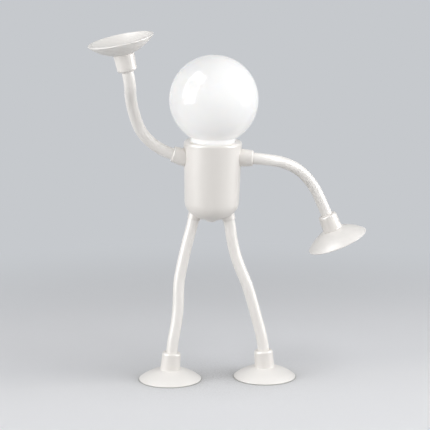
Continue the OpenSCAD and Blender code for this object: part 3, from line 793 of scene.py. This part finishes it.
@dataclass(frozen=True)
class Button:
    """The push button under the torso and the spring that returns it."""

    torso: Torso
    radius: float = 3.7
    show: float = 0.6
    dish: float = 0.15
    edge: float = 0.4
    flange_radius: float = 4.5
    flange_low: float = 2.36
    flange_high: float = 3.36
    stem_radius: float = 1.5
    stem_top: float = 6.9
    coil_radius: float = 2.25
    coil_wire: float = 0.25
    coil_low: float = 3.66
    coil_high: float = 7.85
    coil_turns: float = 3.5
    coil_steps: int = 24
    travel: float = 0.6

    def build(self) -> None:
        """Makes the button and its spring."""
        lathe = Lathe(0.0, self.dish - self.show)
        lathe.bow(self.radius - 2 * self.edge, -self.show, -self.dish / 2)
        lathe.line(self.radius - self.edge, -self.show)
        lathe.arc(self.radius - self.edge, self.edge - self.show, 90)
        lathe.path(
            (self.radius, self.flange_low, 0.0),
            (self.flange_radius, self.flange_low, 0.15),
            (self.flange_radius, self.flange_high, 0.15),
            (self.stem_radius, self.flange_high, 0.2),
            (self.stem_radius, self.stem_top, 0.3),
            (0.0, self.stem_top, 0.0),
        )
        Stock("push_button", "button_plastic", ("power_button",)).riding(
            lathe.turned(around=64), self.torso.place, "button"
        )
        self._spring()

    def _spring(self) -> None:
        """Winds the spring, with half a flat turn at each end."""
        mesh = bmesh.new()
        bmesh.ops.create_circle(
            mesh, cap_ends=True, radius=self.coil_wire, segments=10,
            matrix=shift(self.coil_radius, 0, self.coil_low) @ turn("X", 90),
        )
        front = mesh.faces[:]
        rise = (self.coil_high - self.coil_low) / (self.coil_turns * self.coil_steps)
        for turns, climb in ((0.5, 0.0), (self.coil_turns, rise), (0.5, 0.0)):
            made = bmesh.ops.spin(
                mesh, geom=front, axis=UP, dvec=(0.0, 0.0, climb), angle=math.tau * turns,
                steps=round(turns * self.coil_steps),
            )
            front = made["geom_last"]
        bmesh.ops.recalc_face_normals(mesh, faces=mesh.faces[:])
        spring = Stock("button_coil", "spring_steel", ("button_spring",)).riding(
            mesh, self.torso.place, "torso"
        )
        place = self.torso.place
        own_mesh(spring)


# ---------- limbs


@dataclass(frozen=True)
class Sleeve:
    """A silicone sleeve on a wire.

    The grip is the length that a collar holds, and the wire stops short of the sleeve's end.
    """

    radius: float = 4.0
    bore: float = 1.25
    wire: float = 1.2
    grip: float = 5.0
    wire_short: float = 1.0
    spacing: float = 0.8
    around: int = 48
    wire_spacing: float = 1.2
    wire_around: int = 16

    def cut(self, limb: Limb, start: Station, end: Station, ends: Pair, core: bool) -> BMesh:
        """Cuts a length to lie between two places on a limb.

        Args:
            limb: The limb.
            start: Where the length leaves its first straight end.
            end: Where it goes over into its last.
            ends: How long the two straight ends are, in mm.
            core: Whether to cut the wire and not the silicone round it.

        Returns:
            The closed mesh.
        """
        radii, around, spacing = (self.radius, self.bore), self.around, self.spacing
        if core:
            radii, around, spacing = (self.wire,), self.wire_around, self.wire_spacing
        sweep = Sweep(limb, start, ends[0], radii, around).follow(start, end, spacing)
        sweep.straight(limb.place(*end), ends[1])
        return sweep.closed()


@dataclass(frozen=True)
class Bend:
    """A bendable length of a limb: what one piece covers of it, and the stretch that gives.

    Lead and tail are straight ends, in mm. Where the stretch that gives is clear of the piece that
    holds it, so many mm along, is worked out, but nothing bends there.
    """

    word: str
    start: Station
    end: Station
    bodies: tuple[str, str]
    flex: int
    nodes: tuple[str, ...]
    lead: float = 0.0
    wire_lead: float = 0.0
    tail: float = 0.0
    clear: float = 0.0

    def build(self, side: Side, limb: Limb, stock: Sleeve, part: str) -> None:
        """Makes the sleeve and the wire of this length.

        Args:
            side: Side of the lamp.
            limb: The limb that they follow.
            stock: The sleeve and wire that they are cut from.
            part: "arm" or "leg".
        """
        word = side.word
        ends = limb.point(self.flex, 0.0, self.clear), limb.point(self.flex, 1.0)
        wire_tail = max(0.0, self.tail - stock.wire_short)
        for kind, slot, nodes, straights in (
            ("sleeve", "tube_silicone", self.nodes, (self.lead, self.tail)),
            ("wire", "wire", (f"{part}_wire",), (self.wire_lead, wire_tail)),
        ):
            mesh = stock.cut(limb, self.start, self.end, straights, kind == "wire")
            length = Stock(
                f"{word}_{part}_{kind}_{self.word}", slot, tuple(f"{word}_{n}" for n in nodes)
            ).piece(mesh, Matrix())
            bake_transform(length)


@dataclass(frozen=True)
class ShoulderCollar:
    """The ball-ended collar that holds an arm in its socket."""

    ball_radius: float = 7.0
    base_radius: float = 6.1
    end_radius: float = 5.5
    reach: float = 6.3
    lip: float = 0.8
    mouth: float = 4.25
    mouth_floor: float = 0.6
    pocket_radius: float = 3.1
    pocket_floor: float = -3.0
    pin_hole: float = 1.55

    def mesh(self) -> BMesh:
        """The collar about its ball's centre, +Z along the arm."""
        ball = self.ball_radius
        low, high = (math.acos(radius / ball) for radius in (self.pin_hole, self.base_radius))
        lathe = Lathe(self.pin_hole, -ball * math.sin(low), FINE)
        lathe.arc(0.0, 0.0, math.degrees(low - high))
        lathe.line(self.base_radius, 0.0, 4)
        lathe.line(self.end_radius, self.reach - self.lip, 6)
        lathe.arc(self.end_radius - self.lip, self.reach - self.lip, 90)
        lathe.path(
            (self.mouth, self.reach, 0.25),
            (self.mouth, self.mouth_floor, 0.0),
            (self.pocket_radius, self.mouth_floor, 0.2),
            (self.pocket_radius, self.pocket_floor, 0.0),
            (self.pin_hole, self.pocket_floor, 0.0),
            (self.pin_hole, -ball * math.sin(low), 0.0),
        )
        return lathe.turned()


@dataclass(frozen=True)
class HipRing:
    """The turning ring that holds a leg in its pocket."""

    radius: float = 4.6
    show: float = 2.4
    lip: float = 0.5
    pocket: float = 4.85
    bore: float = 4.05
    bore_floor: float = -3.5
    spigot: float = 3.4
    spigot_end: float = -8.05
    groove: float = 2.7
    groove_high: float = -6.55
    groove_low: float = -7.45
    core: float = 1.25
    core_floor: float = -7.05

    def mesh(self) -> BMesh:
        """The ring about its pocket's mouth, +Z down the leg."""
        lathe = Lathe(0.0, self.spigot_end)
        lathe.path(
            (self.spigot, self.spigot_end, 0.3),
            (self.spigot, self.groove_low, 0.0),
            (self.groove, self.groove_low, 0.0),
            (self.groove, self.groove_high, 0.0),
            (self.spigot, self.groove_high, 0.0),
            (self.spigot, -self.pocket, 0.0),
            (self.radius, -self.pocket, 0.3),
            (self.radius, self.show - self.lip, 0.0),
        )
        lathe.arc(self.radius - self.lip, self.show - self.lip, 90)
        lathe.path(
            (self.bore, self.show, 0.0),
            (self.bore, self.bore_floor, 0.0),
            (self.core, self.bore_floor, 0.0),
            (self.core, self.core_floor, 0.0),
            (0.0, self.core_floor, 0.0),
        )
        return lathe.turned(around=80)


@dataclass(frozen=True)
class Ferrule:
    """The collar that joins the end of a sleeve to a suction cup."""

    length: float = 11.8
    tube_end: float = 6.6
    cup_end: float = 7.0
    lip: float = 1.8
    mouth: float = 4.25
    mouth_depth: float = 5.05
    plug_hole: float = 5.15
    plug_depth: float = 4.8
    draft: float = 0.012
    edge: float = 0.3

    def mesh(self) -> BMesh:
        """The collar from its mouth, +Z towards the cup."""
        lathe = Lathe(0.0, self.mouth_depth, FINE)
        lathe.path(
            (self.mouth, self.mouth_depth, 0.0),
            (self.mouth, 0.0, self.edge),
            (self.tube_end - self.lip, 0.0, 0.0),
        )
        lathe.arc(self.tube_end - self.lip, self.lip, 90)
        lathe.line(self.cup_end - self.draft, self.length - self.edge, 8)
        lathe.path(
            (self.cup_end, self.length, 0.22),
            (self.plug_hole, self.length, 0.0),
            (self.plug_hole, self.length - self.plug_depth, 0.0),
            (0.0, self.length - self.plug_depth, 0.0),
        )
        return lathe.turned()


@dataclass(frozen=True)
class SuctionCup:
    """A silicone suction cup: a domed wall with a beaded edge round a hollow.

    The wall meets the bead at a share of its half, outwards and upwards from its middle.
    """

    height: float
    bulge: float
    radius: float = 22.0
    wall: float = 1.6
    sag: float = 0.6
    edge: float = 1.1
    edge_meets: Pair = (0.4, 0.8)
    edge_foot: float = 1.6
    land: float = 7.2
    hollow: float = 0.6
    neck: float = 6.9
    neck_depth: float = 1.5
    neck_sink: float = 0.5
    plug: float = 5.15
    plug_depth: float = 4.75
    plug_gap: float = 0.05
    nub: float = 1.6
    nub_show: float = 0.35
    nub_edge: float = 0.15
    around: int = 144

    def _skirt(self, lathe: Lathe) -> Lathe:
        """Draws the wall from the landing round the rim to the middle of the hollow."""
        half, (out, up) = self.edge / 2, self.edge_meets
        ceiling = self.height - self.wall - self.sag
        lathe.bow(self.radius - half * (1 - out), half * (1 + up), self.bulge)
        lathe.arc(self.radius - half, half, -(math.degrees(math.atan2(up, out)) + 90))
        lathe.line(self.radius - self.edge * self.edge_foot, 0.0)
        lathe.bow(self.land * self.hollow, ceiling, -self.bulge)
        lathe.path(
            (self.nub, ceiling, self.nub_edge),
            (self.nub - self.nub_edge, ceiling - self.nub_show, self.nub_edge),
            (0.0, ceiling - self.nub_show, 0.0),
        )
        return lathe

    def on_neck(self) -> BMesh:
        """A cup in line with its plug, rim at Z = 0."""
        lathe = Lathe(0.0, self.height + self.plug_depth, FINE)
        lathe.path(
            (self.plug, self.height + self.plug_depth, 0.4),
            (self.plug, self.height, 0.0),
            (self.land, self.height, 0.0),
        )
        return self._skirt(lathe).turned(self.around)

    def standing(self, lean: Matrix) -> BMesh:
        """A cup that stands flat while its plug leans.

        Args:
            lean: Placement of the plug's shoulder in the cup's frame, +Z into the cup.

        Returns:
            The cup and its plug as one mesh, rim at Z = 0.
        """
        lathe = Lathe(0.0, self.height, FINE)
        lathe.line(self.land, self.height)
        cup = self._skirt(lathe).turned(self.around)
        plug = Lathe(0.0, -self.plug_depth, FINE)
        plug.path(
            (self.plug, -self.plug_depth, 0.4),
            (self.plug, self.plug_gap, 0.0),
            (self.neck, self.plug_gap, 0.25),
            (self.neck, self.neck_depth + self.neck_sink, 0.0),
            (0.0, self.neck_depth + self.neck_sink, 0.0),
        )
        neck = plug.turned(self.around)
        bmesh.ops.transform(neck, matrix=lean, verts=neck.verts[:])
        return joined(cup, neck)


@dataclass(frozen=True)
class Arm:
    """An arm from its shoulder collar to its suction cup."""

    side: Side
    torso: Torso
    tilt: float
    bends: tuple[Pair, ...]
    lengths: tuple[float, ...] = (6.3, 20.0, 16.0, 32.0, 16.0)
    sleeve: Sleeve = Sleeve()
    collar: ShoulderCollar = ShoulderCollar()
    ferrule: Ferrule = Ferrule()
    cup: SuctionCup = SuctionCup(9.65, 1.1)
    cup_height: float = 9.7

    @property
    def limb(self) -> Limb:
        """The arm's stretches, from the ball's centre."""
        rows = zip(self.lengths, self.bends)
        return Limb(
            self.torso.socket(self.side, self.tilt),
            tuple(Stretch(length, *bend) for length, bend in rows),
        )

    def build(self) -> None:
        """Makes the arm's pieces, and puts its collar, ferrule and cup on their bodies."""
        word, limb, grip = self.side.word, self.limb, self.sleeve.grip
        Stock(f"{word}_shoulder_cup_collar", "shell_plastic", (f"{word}_shoulder_collar",)).riding(
            self.collar.mesh(), limb.start, f"{word}_upper_arm"
        )
        for bend in (
            Bend(
                "upper", (1, 0.0), (3, 0.5), ("upper_arm", "forearm"), 2, ("upper_arm", "elbow"),
                grip, grip,
            ),
            Bend(
                "lower", (3, 0.5), (4, 1.0), ("forearm", "hand"), 4, ("forearm", "wrist"), tail=grip
            ),
        ):
            bend.build(self.side, limb, self.sleeve, "arm")
        Stock(f"{word}_wrist_ferrule", "shell_plastic", (f"{word}_wrist_collar",)).riding(
            self.ferrule.mesh(), limb.end, f"{word}_hand"
        )
        hand = limb.end @ shift(z=self.ferrule.length + self.cup_height) @ turn("X", 180)
        Stock(f"{word}_hand_suction_cup", "cup_silicone", (f"{word}_hand_cup",)).riding(
            self.cup.on_neck(), hand, f"{word}_hand"
        )


@dataclass(frozen=True)
class Leg:
    """A leg from its hip ring to its suction cup."""

    side: Side
    torso: Torso
    thigh: float
    bends: tuple[Pair, ...]
    hip: float = 12.0
    knee: float = 16.0
    shin: float = 27.0
    ankle: float = 14.0
    sleeve: Sleeve = Sleeve()
    ring: HipRing = HipRing()
    ferrule: Ferrule = Ferrule()
    cup: SuctionCup = SuctionCup(7.4, 1.0)
    hip_lead: float = 3.45
    wire_lead: float = 5.9
    hip_gap: float = 0.2

    @property
    def limb(self) -> Limb:
        """The leg's stretches, from the hip ring."""
        lengths = (0.0, self.hip, self.thigh, self.knee, self.shin, self.ankle)
        rows = zip(lengths, self.bends)
        return Limb(
            self.torso.hip(self.side), tuple(Stretch(length, *bend) for length, bend in rows)
        )

    def build(self) -> None:
        """Makes the leg's pieces, and puts its ring, ferrule and cup on their bodies."""
        word, limb, grip = self.side.word, self.limb, self.sleeve.grip
        Stock(f"{word}_hip_ring", "shell_plastic", (f"{word}_hip_collar",)).riding(
            self.ring.mesh(), limb.start, f"{word}_hip"
        )
        for bend in (
            Bend(
                "hip", (1, 0.0), (2, 0.5), ("hip", "thigh"), 1, ("hip", "thigh"),
                self.hip_lead, self.wire_lead, clear=self.ring.show + self.hip_gap,
            ),
            Bend("knee", (2, 0.5), (4, 0.5), ("thigh", "shin"), 3, ("knee",)),
            Bend("ankle", (4, 0.5), (5, 1.0), ("shin", "foot"), 5, ("shin", "ankle"), tail=grip),
        ):
            bend.build(self.side, limb, self.sleeve, "leg")
        Stock(f"{word}_ankle_ferrule", "shell_plastic", (f"{word}_ankle_collar",)).riding(
            self.ferrule.mesh(), limb.end, f"{word}_foot"
        )
        neck = limb.end @ shift(z=self.ferrule.length)
        stand = (neck @ shift(z=self.cup.neck_depth)).translation
        upright = shift(stand.x, stand.y)
        Stock(f"{word}_foot_suction_cup", "cup_silicone", (f"{word}_foot_cup",)).riding(
            self.cup.standing(upright.inverted() @ neck), upright, f"{word}_foot"
        )


# ---------- CAD nodes that stay


def dress_nodes() -> None:
    """Gives every CAD node the finish of its material slot."""
    for name, node in sorted(frame["nodes"].items()):
        for material_slot in node.material_slots:
            slot = material_slot.material.name.split(".")[0]
            material_slot.material = Finishes.of(slot)
            log.info("node %s: %s", name, material_slot.material.name)


# ---------- studio


@dataclass(frozen=True)
class SoftBox:
    """A soft studio light: where it hangs and its size, in metres, and its power, in watts.

    A light that isn't lighting is only seen in glosses, and one that isn't reflected is never
    seen in them.
    """

    name: str
    direction: Triple
    width: float
    height: float
    power: float
    distance: float = 0.9
    reflected: bool = True
    lighting: bool = True
    shadow: bool = True

    def build(self, aim: Vector) -> None:
        """Hangs the light so that it faces a point."""
        data = bpy.data.lights.new(self.name, "AREA")
        data.shape, data.size, data.size_y = "RECTANGLE", self.width, self.height
        data.energy, data.use_shadow = self.power, self.shadow
        lamp = linked(self.name, data)
        way = Vector(self.direction).normalized()
        lamp.location = aim + way * self.distance
        lamp.rotation_euler = way.to_track_quat("Z", "Y").to_euler()
        lamp.visible_camera = False
        lamp.visible_glossy = self.reflected
        lamp.visible_diffuse = self.lighting


@dataclass(frozen=True)
class Studio:
    """The pale sweep that the lamp stands on, its lights and the camera, in metres.

    The floor's tone, a painted falloff of light, goes from near to far over a depth that slants
    across it, and it fades into the backdrop between two distances. Next to the feet it sinks to
    the tone that it
    bounces: a painted contact shadow.
    """

    aim: Triple = (-0.0135, 0.0069, 0.1977)
    floor_size: float = 12.0
    # near, middle and far: tones of a painted falloff of light, lighter in front of the lamp
    near: Colour = (0.855, 0.865, 0.890)
    middle: Colour = (0.825, 0.838, 0.868)
    far: Colour = (0.80, 0.815, 0.845)
    depth: float = 0.25
    slant: float = 0.16
    # painted contact shadow: how far the feet's occlusion reaches in metres, and the occlusion over
    # which it fades out
    contact: float = 0.07
    contact_open: tuple[float, float] = (0.72, 0.98)
    backdrop: Colour = (0.565, 0.584, 0.610)
    room: Colour = (1.0, 0.99, 0.975)
    fill: float = 0.20
    bounce: Colour = (0.45, 0.45, 0.45)
    fade: tuple[float, float] = (0.20, 0.50)
    camera_at: Triple = (-0.01265, -0.987, 0.2961)
    camera_dip: float = 10.19
    lens: float = 121.395

    def build(self) -> None:
        """Sets the studio up."""
        self._floor()
        self._world()
        for box in (
            SoftBox(
                "left_softbox", (-0.791, -0.336, 0.490), 0.62, 1.26, 16.5,
                lighting=False, shadow=False,
            ),
            SoftBox("right_softbox", (0.904, -0.020, 0.400), 0.47, 1.10, 10.0, lighting=False),
            SoftBox("left_wall", (-1.0, -0.30, 0.15), 0.9, 0.6, 5.4, reflected=False),
            SoftBox("right_wall", (1.0, -0.30, 0.25), 0.9, 0.6, 4.5, reflected=False),
            SoftBox("front_wall", (0.0, -0.90, 0.30), 1.2, 0.6, 2.1, reflected=False),
            SoftBox("top_softbox", (0.40, -0.25, 0.85), 0.6, 0.6, 2.6, reflected=False),
        ):
            box.build(Vector(self.aim))
        self._camera()

    def _floor(self) -> None:
        """Lays the floor, painted lighter in front of the lamp than behind it, with a painted
        shadow next to the feet.
        """
        mesh = bmesh.new()
        bmesh.ops.create_grid(mesh, x_segments=8, y_segments=8, size=self.floor_size)
        floor = linked("studio_floor", stored(mesh, "studio_floor"))
        kit = Kit("pale studio floor")
        across, back = (
            kit.node("ShaderNodeSeparateXYZ", inputs={0: kit.place()}, output=axis)
            for axis in (0, 1)
        )
        distance = kit.node(
            "ShaderNodeVectorMath", {"operation": "LENGTH"}, {0: kit.place()}, "Value"
        )
        away = kit.rise(distance, *self.fade)
        # painted light falloff: the seen floor colour is lighter near the lamp and darker further
        # back
        stops = [(0.0, self.near), (0.18, self.middle), (0.60, self.middle), (1.0, self.far)]
        tone = kit.node(
            "ShaderNodeValToRGB", {"stops": stops},
            {0: kit.rise(back - across * self.slant, 0.0, self.depth, "LINEAR")},
        )
        paper = kit.noise(1.2, 3.0)
        # painted contact shadow: occlusion by the feet darkens the seen floor colour towards the
        # bounce tone
        air = kit.node(
            "ShaderNodeAmbientOcclusion", {"samples": 8}, {"Distance": self.contact}, "AO"
        )
        beyond_painted_shadow = kit.rise(air, *self.contact_open)
        lit = kit.node("ShaderNodeBsdfPrincipled", inputs={
            "Base Color": kit.mixed(kit.seen() * beyond_painted_shadow, self.bounce, tone),
            "Roughness": 0.75 + paper * 0.1, "Specular IOR Level": 0.2,
            "Normal": kit.bump(paper, 0.02),
        })
        plain = kit.node("ShaderNodeEmission", inputs={"Color": (*self.backdrop, 1.0)})
        shown = kit.node("ShaderNodeMixShader", inputs={0: away * kit.seen(), 1: lit, 2: plain})
        kit.node("ShaderNodeOutputMaterial", inputs={"Surface": shown})
        floor.data.materials.append(kit.material)

    def _world(self) -> None:
        """Fills the room with an even light, and shows it as the pale backdrop."""
        world = bpy.data.worlds.new("studio_room")
        world.use_nodes = True
        bpy.context.scene.world = world
        kit = Kit("", world)
        room = kit.node("ShaderNodeBackground", inputs={0: (*self.room, 1.0), 1: self.fill})
        plain = kit.node("ShaderNodeBackground", inputs={0: (*self.backdrop, 1.0), 1: 1.0})
        shown = kit.node("ShaderNodeMixShader", inputs={0: kit.seen(), 1: room, 2: plain})
        kit.node("ShaderNodeOutputWorld", inputs={"Surface": shown})

    def _camera(self) -> None:
        """Sets the camera up at the front."""
        data = bpy.data.cameras.new("front_camera")
        data.lens, data.sensor_width = self.lens, 36.0
        camera = linked("front_camera", data)
        camera.location = self.camera_at
        camera.rotation_euler = (math.radians(90 - self.camera_dip), 0.0, 0.0)
        bpy.context.scene.camera = camera
        bpy.context.scene.view_settings.view_transform = "Standard"


# ---------- the lamp


def main() -> None:
    """Builds the lamp and its studio."""
    logging.basicConfig(level=logging.INFO, format="%(name)s: %(message)s")
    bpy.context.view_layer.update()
    dress_nodes()
    torso = Torso()
    Globe(torso).build()
    Button(torso).build()
    arms = (
        Arm(
            Side.LEFT, torso, 17.0,
            ((0, 0), (32.4, -32.2), (24.2, 2.3), (24.5, -44.7), (44.1, 154.3)),
        ),
        Arm(
            Side.RIGHT, torso, -2.0,
            ((0, 0), (60.1, -104.8), (18.2, -136.4), (47.1, 33.2), (4.1, 87.7)),
        ),
    )
    legs = (
        Leg(
            Side.LEFT, torso, 29.3,
            ((0, 0), (7.5, -79.7), (4.3, -117.5), (11.8, 32.3), (11.8, 165), (8.9, 135)),
        ),
        Leg(
            Side.RIGHT, torso, 30.4095,
            ((0, 0), (5.1, 15), (19.4, -169.2), (9.7, -177.6), (2.5, -95.3), (10.7, 77.8)),
        ),
    )
    for limb in (*arms, *legs):
        limb.build()
    Studio().build()


if __name__ == "__main__":
    main()
